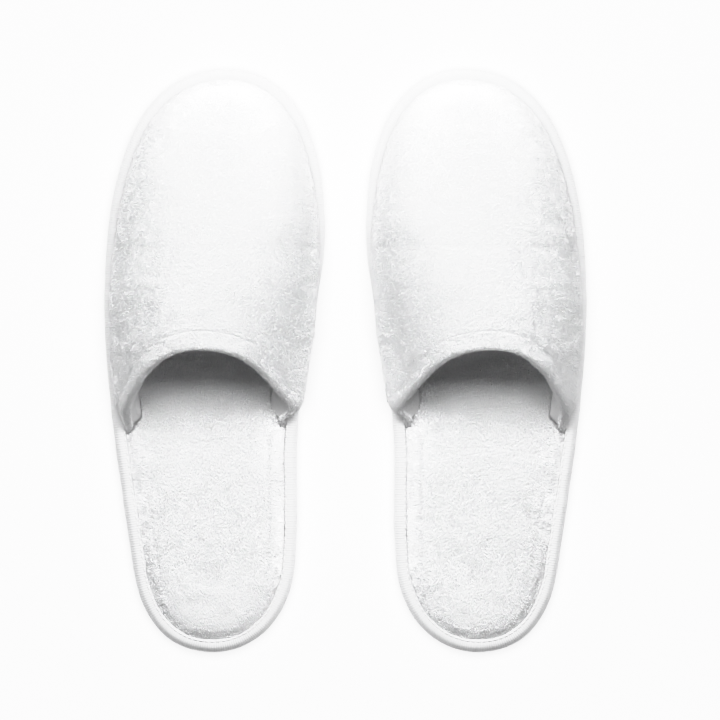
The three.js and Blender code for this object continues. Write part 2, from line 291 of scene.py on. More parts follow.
def tidy(vertices, faces):
    """A mesh's vertices and its faces by size, with coincident vertices merged and faces turned out."""
    mesh = bpy.data.meshes.new("tidy")
    mesh.from_pydata(np.asarray(vertices).tolist(), [], [list(map(int, face)) for face in faces])
    work = bmesh.new()
    work.from_mesh(mesh)
    bmesh.ops.remove_doubles(work, verts=work.verts, dist=0.002 * MM)
    bmesh.ops.recalc_face_normals(work, faces=work.faces)
    work.to_mesh(mesh)
    work.free()
    co = np.empty(len(mesh.vertices) * 3, np.float32)
    mesh.vertices.foreach_get("co", co)
    by_size = {}
    for polygon in mesh.polygons:
        by_size.setdefault(polygon.loop_total, []).append(tuple(polygon.vertices))
    bpy.data.meshes.remove(mesh)
    return co.reshape(-1, 3), [np.array(f) for f in by_size.values()]


def place(vertices, side):
    """From the left slipper's own frame to the row frame, mirrored for the right one."""
    moved = np.asarray(vertices, float) + (AXIS_X, HEEL_Y, 0)
    return moved if side == "left" else moved * (-1, 1, 1)


def both(name, vertices, face_sets, finish, nodes=(), bends=False, extra=None):
    """Makes a piece for the left slipper and its mirror image for the right one. It rides the front
    body, or is left free of it with its placement baked into its mesh when bends is set, and stands for
    the named nodes. extra adds data to each mesh."""
    for side in ("left", "right"):
        faces = face_sets if side == "left" else [f[:, ::-1] for f in face_sets]
        piece = new_object(f"{side}_{name}", place(vertices, side), faces)
        if extra:
            extra(piece, side)
        piece.data.materials.append(finish)
        front, heel = BODIES[side]
        if bends:
            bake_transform(piece)
        else:
            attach(piece, front)
        if nodes:
            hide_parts(*[f"{side}_{node}" for node in nodes])
        made[side].append(piece)


def halves(layer):
    """The names of a sole layer's two nodes, without their side."""
    return (f"{layer}_fore", f"{layer}_heel")


# ---------- Materials ----------
class Finish:
    """A procedural material, built up node by node on a Principled shader."""

    def __init__(self, name, colour, roughness, sheen=0.0):
        self.material = bpy.data.materials.new(name)
        self.material.use_nodes = True
        self.tree = self.material.node_tree
        self.shader = self.tree.nodes["Principled BSDF"]
        self.shader.inputs["Base Color"].default_value = (*colour, 1)
        self.shader.inputs["Roughness"].default_value = roughness
        self.shader.inputs["Specular IOR Level"].default_value = 0.25
        self.shader.inputs["Sheen Weight"].default_value = sheen
        self.shader.inputs["Sheen Roughness"].default_value = 0.6
        self.colour = colour
        self.place = self.node("ShaderNodeTexCoord").outputs["Object"]

    def node(self, kind, **settings):
        made_node = self.tree.nodes.new(kind)
        for key, value in settings.items():
            if key in made_node.inputs:
                made_node.inputs[key].default_value = value
            else:
                setattr(made_node, key, value)
        return made_node

    def link(self, output, target):
        self.tree.links.new(output, target)
        return self

    def noise(self, lump):
        texture = self.node("ShaderNodeTexNoise", Scale=1 / lump, Detail=2.0)
        self.link(self.place, texture.inputs["Vector"])
        return texture.outputs["Fac"]

    def cells(self, size):
        texture = self.node("ShaderNodeTexVoronoi", Scale=1 / size)
        self.link(self.place, texture.inputs["Vector"])
        return texture.outputs["Distance"]

    def ramp(self, factor, dark, light, low=0.3, high=0.7):
        """Colours from dark to light, each a factor on the finish's own colour."""
        ramp = self.node("ShaderNodeValToRGB")
        ramp.color_ramp.elements[0].position = low
        ramp.color_ramp.elements[1].position = high
        for element, share in zip(ramp.color_ramp.elements, (dark, light)):
            element.color = (*[c * share for c in self.colour], 1)
        self.link(factor, ramp.inputs["Fac"])
        return ramp.outputs["Color"]

    def paint(self, colour):
        return self.link(colour, self.shader.inputs["Base Color"])

    def rough(self, factor, low, high):
        spread = self.node("ShaderNodeMapRange")
        spread.inputs["To Min"].default_value = low
        spread.inputs["To Max"].default_value = high
        self.link(factor, spread.inputs["Value"])
        return self.link(spread.outputs["Result"], self.shader.inputs["Roughness"])

    def bump(self, height, depth):
        """Adds a relief of that depth in metres on top of those added before."""
        bump = self.node("ShaderNodeBump", Strength=1.0, Distance=depth)
        self.link(height, bump.inputs["Height"])
        before = self.shader.inputs["Normal"].links
        if before:
            self.link(before[0].from_socket, bump.inputs["Normal"])
        return self.link(bump.outputs["Normal"], self.shader.inputs["Normal"])

    def attribute(self, name):
        return self.node("ShaderNodeAttribute", attribute_name=name).outputs["Fac"]


def ground_finish(name, colour):
    """The knitted ground under the pile."""
    finish = Finish(name, colour, 0.95, sheen=0.2)
    finish.paint(finish.ramp(finish.noise(3 * MM), 0.94, 1.0))
    finish.rough(finish.noise(1 * MM), 0.85, 1.0)
    finish.bump(finish.cells(0.7 * MM), 0.25 * MM)
    return finish.material


def pile_finish(name, colour, glow):
    """Pile fibres, painted a little darker at the root as shade deep in the pile. glow is the share of
    light that scatters in them.
    """
    finish = Finish(name, colour, 0.9, sheen=0.35)
    # Painted shade: each tuft's colour darkens along its rise towards the root, where the pile shades
    # itself.
    finish.paint(finish.ramp(finish.attribute("rise"), 0.93, 1.0, low=0.0, high=0.7))
    finish.rough(finish.noise(0.8 * MM), 0.8, 1.0)
    finish.shader.subsurface_method = "BURLEY"
    finish.shader.inputs["Subsurface Weight"].default_value = glow
    finish.shader.inputs["Subsurface Radius"].default_value = (1, 1, 1)
    finish.shader.inputs["Subsurface Scale"].default_value = 1.2 * MM
    return finish.material


def tape_finish():
    """Rib-knitted tape: rows of small loops across its ribs."""
    finish = Finish("binding_tape_knit", (0.86, 0.86, 0.865), 0.85, sheen=0.15)
    finish.paint(finish.ramp(finish.noise(6 * MM), 0.97, 1.0))
    finish.rough(finish.noise(0.5 * MM), 0.75, 0.95)
    finish.bump(finish.attribute("rib"), 0.2 * MM)
    finish.bump(finish.cells(0.4 * MM), 0.04 * MM)
    return finish.material


def thread_finish():
    """Spun thread with a fine twist."""
    finish = Finish("spun_thread", (0.97, 0.97, 0.97), 0.6, sheen=0.1)
    finish.paint(finish.ramp(finish.noise(0.6 * MM), 0.95, 1.0))
    finish.rough(finish.noise(0.3 * MM), 0.5, 0.7)
    finish.bump(finish.noise(0.12 * MM), 0.05 * MM)
    return finish.material


def lining_finish():
    """Smooth warp-knit lining with fine wales."""
    finish = Finish("lining_knit", (0.86, 0.86, 0.87), 0.8, sheen=0.15)
    finish.paint(finish.ramp(finish.noise(8 * MM), 0.96, 1.0))
    wave = finish.node("ShaderNodeTexWave", Scale=0.5 / (0.7 * MM), Distortion=0.6, Detail=1.0)
    finish.link(finish.place, wave.inputs["Vector"])
    finish.rough(wave.outputs["Fac"], 0.7, 0.9)
    finish.bump(wave.outputs["Fac"], 0.06 * MM)
    return finish.material


def foam_finish(name, colour, cell):
    """Foam with open cells on its cut faces, painted darker in each cell's pit as shade."""
    finish = Finish(name, colour, 0.9)
    # Painted shade: the colour darkens into the pits that the cells' bump sinks.
    finish.paint(finish.ramp(finish.cells(cell), 0.86, 1.0, low=0.0, high=0.4))
    finish.rough(finish.noise(cell), 0.8, 1.0)
    finish.bump(finish.cells(cell), cell / 4)
    return finish.material


def rubber_finish():
    """Matte foam rubber with a fine moulded grain."""
    finish = Finish("outsole_foam_rubber", (0.86, 0.86, 0.86), 0.65)
    finish.paint(finish.ramp(finish.noise(12 * MM), 0.96, 1.0))
    finish.rough(finish.noise(1.5 * MM), 0.55, 0.75)
    finish.bump(finish.cells(0.35 * MM), 0.04 * MM)
    return finish.material


WHITE = (0.87, 0.87, 0.875)
upper_ground = ground_finish("upper_plush_ground", WHITE)
upper_fibres = pile_finish("upper_plush_pile", WHITE, 0.6)
insole_ground = ground_finish("insole_plush_ground", (0.93, 0.93, 0.935))
insole_fibres = pile_finish("insole_plush_pile", (0.95, 0.95, 0.955), 0.6)
# Painted shade: the rim's pile is a darker copy of the insole's pile, standing for the shade along the
# binding.
rim_fibres_painted_shade = pile_finish("insole_rim_pile", (0.90, 0.90, 0.905), 0.35)
tape = tape_finish()
thread = thread_finish()
lining_cloth = lining_finish()
upper_foam = foam_finish("upper_sponge_foam", (0.86, 0.85, 0.80), 0.5 * MM)
sole_foam = foam_finish("sole_sponge_foam", (0.86, 0.85, 0.80), 0.7 * MM)
rubber = rubber_finish()


# ---------- Pile ----------
def scatter(grid, count, rng, weight=None):
    """Evenly scattered places on a grid of points: their positions, unit normals, and cells. weight
    is how thickly they lie in each cell."""
    a, b, c, d = grid[:-1, :-1], grid[1:, :-1], grid[1:, 1:], grid[:-1, 1:]
    across = np.cross(c - a, d - b)
    share = np.linalg.norm(across, axis=-1)
    if weight is not None:
        share = share * weight
    share = share.ravel() / share.sum()
    at = (np.arange(count) + rng.random(count)) / count
    cell = np.minimum(np.searchsorted(np.cumsum(share), at), len(share) - 1)
    s, t = rng.random((2, count, 1))
    corners = [k.reshape(-1, 3)[cell] for k in (a, b, c, d)]
    near = corners[0] * (1 - t) + corners[3] * t
    far = corners[1] * (1 - t) + corners[2] * t
    point = near * (1 - s) + far * s
    return point, unit(across.reshape(-1, 3)[cell]), np.unravel_index(cell, a.shape[:2])


def tufts(name, points, normals, combs, size, finish, seed, clump, bends=False, lean=0.5, bent=False):
    """Short tapered tufts of pile, each leaning along its comb. Neighbours lean together in locks, as
    far as clump says. A bent tuft curls over halfway up."""
    rng = np.random.default_rng(seed)
    count = len(points)
    length, width = size
    lock = clump * np.stack([noise(points, 2.4 * MM, seed + k) for k in (1, 2, 3)], axis=1)
    loose = rng.normal(0, 0.12, (count, 3))
    height = length * rng.uniform(0.7, 1.15, (count, 1))
    thick = width * rng.uniform(0.8, 1.2, (count, 1))
    first = unit(normals + lean * combs + 0.5 * lock + loose)
    second = unit(0.5 * normals + 1.6 * lean * combs + 0.9 * lock + 2.0 * loose)
    level = unit(np.cross(first, rng.normal(0, 1, (count, 3))))
    upright = np.cross(first, level)
    turns = np.arange(3) * 2 * math.pi / 3
    ring = level[:, None] * np.cos(turns)[:, None] + upright[:, None] * np.sin(turns)[:, None]
    root = points - 0.3 * MM * normals
    rings = [root[:, None] + ring * thick[:, None]]
    if bent:
        middle = root + first * height * 0.55
        rings.append(middle[:, None] + ring * thick[:, None] * 0.8)
        tip = middle + second * height * 0.5
    else:
        tip = root + unit(first + 0.5 * second) * height
    vertices = np.concatenate([*rings, tip[:, None]], axis=1)
    each = vertices.shape[1]
    start = each * np.arange(count)[:, None, None]
    top = each - 4
    tips = [(top + k, top + (k + 1) % 3, each - 1) for k in range(3)]
    faces = [
        (start + np.array(tips)).reshape(-1, 3),
        (start + np.array([(2, 1, 0)])).reshape(-1, 3),
    ]
    if bent:
        sides = [(k, (k + 1) % 3, 3 + (k + 1) % 3, 3 + k) for k in range(3)]
        faces.append((start + np.array(sides)).reshape(-1, 4))
    # rise runs from 0 at a tuft's root to 1 at its tip; the pile's finish uses it to paint shade at the
    # root.
    up = np.concatenate([np.zeros(3), *([[0.55] * 3] if bent else []), [1.0]]).astype(np.float32)
    rise = np.tile(up, count)

    def add_data(piece, side):
        piece.data.attributes.new("rise", "FLOAT", "POINT").data.foreach_set("value", rise)
        map_tufts(piece, count, side, bent)

    both(name, vertices.reshape(-1, 3), faces, finish, bends=bends, extra=add_data)


def map_tufts(piece, count, side, bent):
    """A texture map in which each tuft has a square of its own, with its root at the bottom."""
    across = math.ceil(math.sqrt(count))
    corner = np.stack([np.arange(count) % across, np.arange(count) // across], axis=1) / across
    left = 0.1 + 0.8 * np.arange(3) / 3
    right = left + 0.8 / 3
    low, mid, high = (np.full(3, v) for v in (0.12, 0.5 if bent else 0.12, 0.88))

    def shape(*corners):
        return np.stack([np.stack(c, 1) for c in corners], axis=1)

    shapes = [
        shape((left, mid), (right, mid), ((left + right) / 2, high)),
        np.array([[(0.1, 0.02), (0.5, 0.1), (0.9, 0.02)]]),
    ]
    if bent:
        shapes.append(shape((left, low), (right, low), (right, mid), (left, mid)))
    if side == "right":
        shapes = [one[:, ::-1] for one in shapes]
    uv = [(corner[:, None, None] + one[None] / across).reshape(-1, 2) for one in shapes]
    layer = piece.data.uv_layers.new(name="OFBake")
    layer.data.foreach_set("uv", np.concatenate(uv).astype(np.float32).ravel())


# ---------- The upper's surface ----------
_cut_normal = unit(np.array([WING_LENGTH, NECK_TOP + THROAT_HEIGHT - MARGIN_BOTTOM]))
CUT_NORMAL = np.array([
    -math.sin(WING_SKEW) * _cut_normal[1],
    math.cos(WING_SKEW) * _cut_normal[1],
    -_cut_normal[0],
])
CUT_POINT = np.array([0, WING_Y, MARGIN_BOTTOM])


def from_throat(points):
    """How far each point lies in front of the plane of the throat's edge."""
    return (points - CUT_POINT) @ CUT_NORMAL


def edge_point(side, share, inset):
    """A point of one side's outline, moved into the sole by the inset."""
    base = np.stack([np.interp(share, SHARES, HALF[side][:, k]) for k in (0, 1)], axis=-1)
    push = np.stack([np.interp(share, SHARES, INWARD[side][:, k]) for k in (0, 1)], axis=-1)
    return base + push * np.asarray(inset)[..., None]


def upper_point(side, share, level, depth):
    """A point of the upper. share runs along one side of the sole from heel to toe. level is 0 where
    the wall leaves the binding, 1 on the crown and -1 at the wall's foot. depth is under the face,
    and the layers are pressed thinner towards the tips of the wings and into the seam."""
    share, level, depth = np.broadcast_arrays(share, level, depth)
    edge = edge_point(side, share, UPPER_INSET)
    past_tip = edge[..., 1] - WING_Y - edge[..., 0] * math.tan(WING_SKEW)
    taper = np.clip(past_tip / TIP_TAPER[side], 0.02, 1) ** 0.7
    low = 1 - smoothstep(-0.3, 0.12, level)
    depth = depth * (1 - low * (1 - taper))
    base = edge_point(side, share, UPPER_INSET + depth)
    across = edge_point(-side, share, UPPER_INSET + depth)
    ridge_y = spine_y((base[..., 1] + across[..., 1]) / 2)
    ridge_toward = np.clip((LENGTH - ridge_y) / THROAT_SETBACK, 0, 1)
    ridge_x = spine_x(ridge_y) + TOE_LEAN + (THROAT_LEAN - TOE_LEAN) * ridge_toward**2
    angle = np.clip(level, 0, 1) * math.pi / 2
    power = 2 / (SQUARENESS - THROAT_EASE * smoothstep(0.45, 1, ridge_toward))
    reach = np.where(level >= 1, 0, np.cos(angle) ** power)
    rise = np.sin(angle) ** power
    x = ridge_x + (base[..., 0] - ridge_x) * reach
    y = ridge_y + (base[..., 1] - ridge_y) * reach
    toward = np.clip((LENGTH - y) / THROAT_SETBACK, 0, 1)
    sideways = np.clip((base[..., 0] - ridge_x) / SWELL_REACH, -1, 1)
    swell = SWELL[side] * sideways * swell_shape(rise) * smoothstep(*TIP_GROWTH, y - WING_Y) * toward**2
    crown = TOE_HEIGHT + (THROAT_HEIGHT - TOE_HEIGHT) * np.sin(math.pi / 2 * toward)
    z = NECK_TOP + (crown - depth) * rise + np.minimum(level, 0) * (NECK_TOP - MARGIN_BOTTOM)
    return np.stack([x + swell, y, z], axis=-1)


def swell_shape(rise):
    """How a wall's swell grows and dies between its foot and the crown."""
    return rise / SWELL_LEVEL * np.exp(1 - rise / SWELL_LEVEL) * (1 - rise)


CUT_STEPS = np.linspace(0.02, 1, 700)


def cut_share(side, level, depth, back):
    """Where, along the side, the upper at that level and depth lies `back` in front of the throat."""
    distance = from_throat(upper_point(side, CUT_STEPS, level, depth))
    return np.interp(back, np.maximum.accumulate(distance), CUT_STEPS)


LEVELS = np.concatenate([[-1, -0.5], np.linspace(0, 1, 73) ** 1.3])


def ground_depth(level):
    """The ground comes up to the binding's level where the wall leaves it."""
    over_lip = -0.9 * smoothstep(-0.5, 0.0, level)
    return MM * (0.2 + over_lip + (GROUND / MM + 0.7) * smoothstep(0.0, 0.2, level))


def upper_grid(depth_at, back, columns, levels=LEVELS):
    """Rows up the wall by columns from the outer end of the throat's edge, round the toe, to the inner
    end. Every row starts and ends on the throat's edge."""
    rows = []
    for level in levels:
        depth = depth_at(level) if callable(depth_at) else depth_at
        starts = {side: cut_share(side, level, depth, back) for side in (-1, 1)}
        at = np.linspace(starts[-1], 2 - starts[1], columns)
        if level >= 1:
            at = np.linspace(starts[-1], 2 - starts[-1], columns)
        outer = upper_point(-1, np.minimum(at, 1), level, depth)
        inner = upper_point(1, np.minimum(2 - at, 1), level, depth)
        rows.append(np.where((at <= 1)[:, None], outer, inner))
    return np.array(rows)


def shell(outer, inner):
    """A closed shell between two grids of the same size, whose last rows are the crown's ridge."""
    rows, columns = outer.shape[:2]
    count = rows * columns
    foot = np.arange(columns)
    rim = np.arange(rows) * columns
    strips = [
        np.stack([line[:-1], line[1:], count + line[1:], count + line[:-1]], axis=1)
        for line in (foot, rim, rim + columns - 1)
    ]
    faces = np.concatenate([grid_faces(rows, columns), grid_faces(rows, columns, count), *strips])
    vertices = np.concatenate([outer.reshape(-1, 3), inner.reshape(-1, 3)])
    return tidy(vertices, faces)


def creases(points):
    """Slow unevenness of soft cloth over foam, fading out at the wall's foot."""
    free = smoothstep(NECK_TOP, NECK_TOP + 12 * MM, points[..., 2])
    slow = 0.55 * noise(points, 34 * MM, seed=11) + 0.35 * noise(points, 15 * MM, seed=12)
    return (slow * free + 0.12 * noise(points, 5 * MM, seed=13)) * MM


def away_from(middle, points, normals):
    """The normals, turned where they point towards the middle."""
    turned = np.sum(normals * (points - middle), axis=-1, keepdims=True) < 0
    return np.where(turned, -normals, normals)


def make_upper():
    """The upper's plush ground, sponge and lining. Returns the grid of the ground's face."""
    columns = 321
    edge = HEM_LINE - 0.6 * MM
    face = upper_grid(ground_depth, edge, columns)
    face = face + away_from(INSIDE_UPPER, face, cross_normals(face)) * creases(face)[..., None]
    back = upper_grid(PLUSH, edge, columns)
    vertices, faces = shell(face, back)
    both("upper_plush_ground", vertices, faces, upper_ground, ["upper_plush"])

    coarse = np.concatenate([[-1], np.linspace(0, 1, 37)])
    for name, (near, far), finish, fill in (
        ("upper_sponge", SPONGE, upper_foam, 0.5),
        ("upper_lining", LINING, lining_cloth, None),
    ):
        grids = [upper_grid(depth, HEM_LINE, 161, coarse) for depth in (near, far)]
        vertices, faces = shell(*grids)
        both(f"{name}_sheet", vertices, faces, finish, [name])
    return face


# ---------- The hem ----------
# Where the hem starts on the upper's face, in mm: how far from its edge, and how far under the face.
HEM_LEAD = ((4.4, 0.4), (3.6, 0.1), (2.6, 0), (1.5, 0), (0.5, 0))
HEM_TURNS = 21
FURRY = len(HEM_LEAD) + HEM_TURNS


def hem_profile(level):
    """The hem's section at a level, as (distance from the throat, depth, lean): along the face, over
    the edge, in along the facing and back beneath it. Its first FURRY points carry pile."""
    wing, instep = HEM_ROUND
    radius = wing + (instep - wing) * smoothstep(0.45, 0.95, level)
    face = ground_depth(level)
    outer_side, foot_side = FACING
    squareness = 0.8
    lean_fade = 3  # mm from the edge
    lead = []
    for away, sunk in HEM_LEAD:
        lead.append((radius + away * MM, face + sunk * MM, max(0, 1 - away / lean_fade)))
    section = []
    for turn in np.linspace(0, math.pi, HEM_TURNS):
        drop = math.copysign(abs(math.cos(turn)) ** squareness, math.cos(turn))
        section.append((radius * (1 - math.sin(turn) ** squareness), face + radius * (1 - drop)))
    bottom = face + 2 * radius
    for share in np.linspace(0.15, 1, 7):
        section.append((radius + share * (5 * MM - radius), bottom + share * (foot_side - bottom)))
    turned = [(back, depth, (foot_side - depth) / (foot_side - face)) for back, depth in section]
    facing = [(back, foot_side, 0) for back in np.linspace(6 * MM, FACING_DEPTH, 9)]
    under = [(back, outer_side, 0) for back in np.linspace(FACING_DEPTH, 6 * MM, 7)]
    root = radius + 4.5 * MM
    closing = [(root, outer_side, 0), (root, face + 1.2 * MM, 0)]
    return np.array([*lead, *turned, *facing, *under, *closing])


def hem_grid():
    """Rows along the throat's edge, from the outer wing over the crown to the inner wing, and the
    depth of each point."""
    rows = []
    depths = []
    for side, order in ((-1, LEVELS), (1, LEVELS[::-1][1:])):
        for level in order:
            wing, instep = HEM_OVERHANG
            overhang = wing + (instep - wing) * smoothstep(0.55, 0.95, level)
            overhang = overhang * smoothstep(0.05, 0.5, level)
            back, depth, lean = hem_profile(level).T
            shares = [cut_share(side, level, d, b - n * overhang) for b, d, n in zip(back, depth, lean)]
            rows.append(upper_point(side, np.array(shares), level, depth))
            depths.append(depth)
    return np.array(rows), np.array(depths)


def make_hem():
    """The hem. Returns the grid of its furry part and the middle of each of its sections."""
    grid, depth = hem_grid()
    rows, columns = grid.shape[:2]
    middle = grid[:, :FURRY].mean(axis=1, keepdims=True)
    normals = cross_normals(np.concatenate([grid[:, -1:], grid, grid[:, :1]], axis=1))[:, 1:-1]
    normals = away_from(middle, grid, normals)
    on_face = np.clip((FACING[0] - depth) / (FACING[0] - GROUND), 0, 1)
    grid = grid + normals * (creases(grid) * on_face)[..., None]
    faces = grid_faces(rows, columns, close_columns=True)
    ends = [np.arange(columns)[::-1], (rows - 1) * columns + np.arange(columns)]
    mesh_vertices = np.concatenate([grid.reshape(-1, 3), grid[0].mean(0)[None], grid[-1].mean(0)[None]])
    caps = []
    for centre, ring in ((rows * columns, ends[0]), (rows * columns + 1, ends[1])):
        turned = np.roll(ring, -1)
        caps.append(np.stack([ring, turned, np.full(columns, centre)], axis=1))
    vertices, face_sets = tidy(mesh_vertices, [*faces, *np.concatenate(caps)])
    both("throat_hem_roll", vertices, face_sets, upper_ground, ["throat_hem"])
    return grid[:, :FURRY], grid[:, :FURRY + 7].mean(axis=1)


def make_upper_pile(face, hem, core):
    """Pile combed down and back over the upper, in two parts, and round the throat's edge."""
    rng = np.random.default_rng(21)
    cell_y = (face[1:-1, :-1, 1] + face[2:, 1:, 1]) / 2
    near_throat = cell_y < THROAT_Y + 45 * MM
    for name, zone in (("throat", near_throat), ("toe", ~near_throat)):
        points, normals, _ = scatter(face[1:], UPPER_TUFTS, rng, zone)
        normals = away_from(INSIDE_UPPER, points, normals)
        sideways = np.clip(points[:, 0] / (30 * MM), -1, 1)
        low = 1 - smoothstep(NECK_TOP, NECK_TOP + 10 * MM, points[:, 2])
        comb = np.stack([0.3 * sideways, low - 1, -0.3 - 0.5 * low], axis=1)
        comb = unit(comb - np.sum(comb * normals, axis=1, keepdims=True) * normals)
        wall = smoothstep(-0.2, 0.5, normals @ np.array([-1.0, 0, 0]))[:, None]
        tufts(f"upper_pile_{name}", points, normals, comb, UPPER_TUFT, upper_fibres,
              seed=31, clump=0.35 + 0.35 * wall)

    past_upper_pile = (np.arange(hem.shape[1] - 1) >= 2)[None]
    points, normals, (row, column) = scatter(hem, HEM_TUFTS, rng, past_upper_pile)
    normals = away_from(core[row], points, normals)
    over_edge = unit(hem[row, 4] - hem[row, 0])
    round_edge = unit(hem[row, np.minimum(column + 1, hem.shape[1] - 1)] - hem[row, column])
    turned = smoothstep(17, 24, column)[:, None]  # the comb turns on the hem's inner columns
    comb = unit(over_edge + (round_edge - over_edge) * turned)
    tufts("throat_hem_pile", points, normals, comb, UPPER_TUFT, upper_fibres,
          seed=47, clump=0.7, lean=0.6)


# ---------- The sole ----------
def sole_grid(inset, ring_shares, columns):
    """Rows from the outline at that inset to the sole's spine, by columns around the sole, and each
    column's length."""
    edge, push = around(columns)
    base = edge + push * inset
    facing = base[(-np.arange(columns)) % columns]
    ridge_y = spine_y((base[:, 1] + facing[:, 1]) / 2)
    ridge = np.stack([spine_x(ridge_y), ridge_y], axis=1)
    rows = [ridge + (base - ridge) * share for share in ring_shares]
    return np.array(rows), np.linalg.norm(base - ridge, axis=1)


def slab(name, inset, low, high, finish):
    """A flat padded layer of the sole with slightly rounded edges."""
    columns = 480
    round_off = 0.6 * MM
    edge, push = around(columns)
    section = [(inset + 2 * MM, low), (inset + round_off, low), (inset, low + round_off)]
    section += [(inset, high - round_off), (inset + round_off, high), (inset + 2 * MM, high)]
    rings = [np.column_stack([edge + push * d, np.full(columns, z)]) for d, z in section]
    plan, _ = sole_grid(inset + 2 * MM, np.linspace(1, 0, 12), columns)
    bottom = [np.column_stack([ring, np.full(columns, low)]) for ring in plan[::-1]]
    top = [np.column_stack([ring, np.full(columns, high)]) for ring in plan]
    grid = np.array([*bottom, *rings[1:-1], *top])
    vertices, faces = tidy(grid.reshape(-1, 3), grid_faces(*grid.shape[:2], close_columns=True))
    both(f"{name}_pad", vertices, faces, finish, halves(name), bends=True)


def wall_foot(plan, inset):
    """How far a place on the insole lies inside the foot of the upper's wall, less than 0 under it,
    and how far it lies ahead of the tip of the wing."""
    past_tip = plan[..., 1] - WING_Y - plan[..., 0] * math.tan(WING_SKEW)
    outer = plan[..., 0] < spine_x(plan[..., 1])
    taper = np.clip(past_tip / np.where(outer, TIP_TAPER[-1], TIP_TAPER[1]), 0.02, 1) ** 0.7
    return inset - UPPER_INSET - (FACING[1] + 0.2 * MM) * taper, past_tip


def insole_height(plan, inset):
    """The level of the insole's ground: pressed flat under the binding and the upper, puffed between."""
    edge = smoothstep(LIP - 0.6 * MM, LIP + 5.5 * MM, inset)
    height = INSOLE_EDGE + MM * (-0.8 + 2.2 * edge)
    inside, past_tip = wall_foot(plan, inset)
    under_wall = smoothstep(-1 * MM, 1.5 * MM, past_tip) * (1 - smoothstep(-0.4 * MM, 0.6 * MM, inside))
    pressed = MARGIN_BOTTOM - 0.5 * MM
    lumps = np.concatenate([plan, np.zeros((*plan.shape[:-1], 1))], axis=-1)
    puff = 0.35 * noise(lumps, 22 * MM, seed=61) + 0.2 * noise(lumps, 8 * MM, seed=62)
    height = height + puff * MM * edge
    return height + (pressed - height) * under_wall


def make_insole():
    """The insole's pad and its pile, whose tufts are straight, and curled round the rim, where the pile
    is painted darker as shade.
    """
    columns = 560
    inset = CORE_INSET
    shares = np.concatenate([np.linspace(1, 0.72, 22), np.linspace(0.7, 0, 26)])
    plan, half_width = sole_grid(inset, shares, columns)
    depth_in = inset + (1 - shares)[:, None] * half_width[None]
    top = np.concatenate([plan, insole_height(plan, depth_in)[..., None]], axis=-1)
    low_shares = np.linspace(0, 1, 10)
    low_plan, _ = sole_grid(inset, low_shares, columns)
    bottom = np.concatenate([low_plan, np.full((*low_plan.shape[:2], 1), insole_low.z)], axis=-1)
    grid = np.concatenate([bottom, top])
    vertices, faces = tidy(grid.reshape(-1, 3), grid_faces(*grid.shape[:2], close_columns=True))
    both("insole_cover_pad", vertices, faces, insole_ground, halves("insole_cover"),
         bends=True)

    wrapped = np.concatenate([top, top[:, :1]], axis=1)
    inset_at = np.concatenate([depth_in, depth_in[:, :1]], axis=1)
    cell = (wrapped[:-1, :-1] + wrapped[1:, 1:]) / 2
    cell_y = cell[..., 1]
    cell_inset = (inset_at[:-1, :-1] + inset_at[1:, 1:]) / 2
    open_part = cell_inset > LIP + 0.3 * MM
    inside, past_tip = wall_foot(cell[..., :2], cell_inset)
    hidden = (past_tip > 0.5 * MM) & (inside < 0.2 * MM)
    in_sight = cell_y <= THROAT_Y + 25 * MM
    # rim is where the curled pile grows, which is painted darker as shade by the binding.
    rim = (1 - smoothstep(LIP + 4 * MM, LIP + 9 * MM, cell_inset)) * (cell_y < WING_Y)
    rng = np.random.default_rng(71)
    for name, count, zone, fibres, seed, bent in (
        ("insole_pile", INSOLE_TUFTS, 1 - rim, insole_fibres, 81, False),
        ("insole_rim_pile", RIM_TUFTS, rim, rim_fibres_painted_shade, 86, True),
    ):
        points, normals, _ = scatter(wrapped, count, rng, open_part * ~hidden * in_sight * zone)
        normals = np.where(normals[:, 2:] < 0, -normals, normals)
        centre = np.column_stack([spine_x(spine_y(points[:, 1])), spine_y(points[:, 1]), points[:, 2]])
        away = unit(points - centre)
        near_edge = smoothstep(16 * MM, 38 * MM, np.linalg.norm(points - centre, axis=1))[:, None]
        comb = unit(near_edge * away + 0.8 * (1 - near_edge) * np.array([0.2, -1, 0]))
        tufts(name, points, normals, comb, INSOLE_TUFT, fibres,
              seed=seed, clump=0.7, bends=True, bent=bent)


def make_outsole():
    """The outsole's plate with its grip dots."""
    columns = 480
    edge, push = around(columns)
    low, high = OUTSOLE_BOTTOM, OUTSOLE_TOP
    section = [(3.2 * MM, low), (2.2 * MM, low + 0.3 * MM), (CORE_INSET, low + 1.2 * MM)]
    section += [(CORE_INSET, high - 0.5 * MM), (CORE_INSET + 0.5 * MM, high)]
    rings = [np.column_stack([edge + push * d, np.full(columns, z)]) for d, z in section]
    shares = np.linspace(1, 0, 12)
    bottom, _ = sole_grid(4.4 * MM, shares, columns)
    top, _ = sole_grid(3 * MM, shares, columns)
    grid = np.array([
        *[np.column_stack([ring, np.full(columns, low)]) for ring in bottom[::-1]],
        *rings,
        *[np.column_stack([ring, np.full(columns, high)]) for ring in top],
    ])
    plate = grid.reshape(-1, 3)
    faces = grid_faces(*grid.shape[:2], close_columns=True)
    dots, dot_faces = grip_dots(low)
    all_faces = np.concatenate([faces, len(plate) + dot_faces])
    vertices, face_sets = tidy(np.concatenate([plate, dots]), all_faces)
    both("outsole_plate", vertices, face_sets, rubber, halves("outsole"), bends=True)


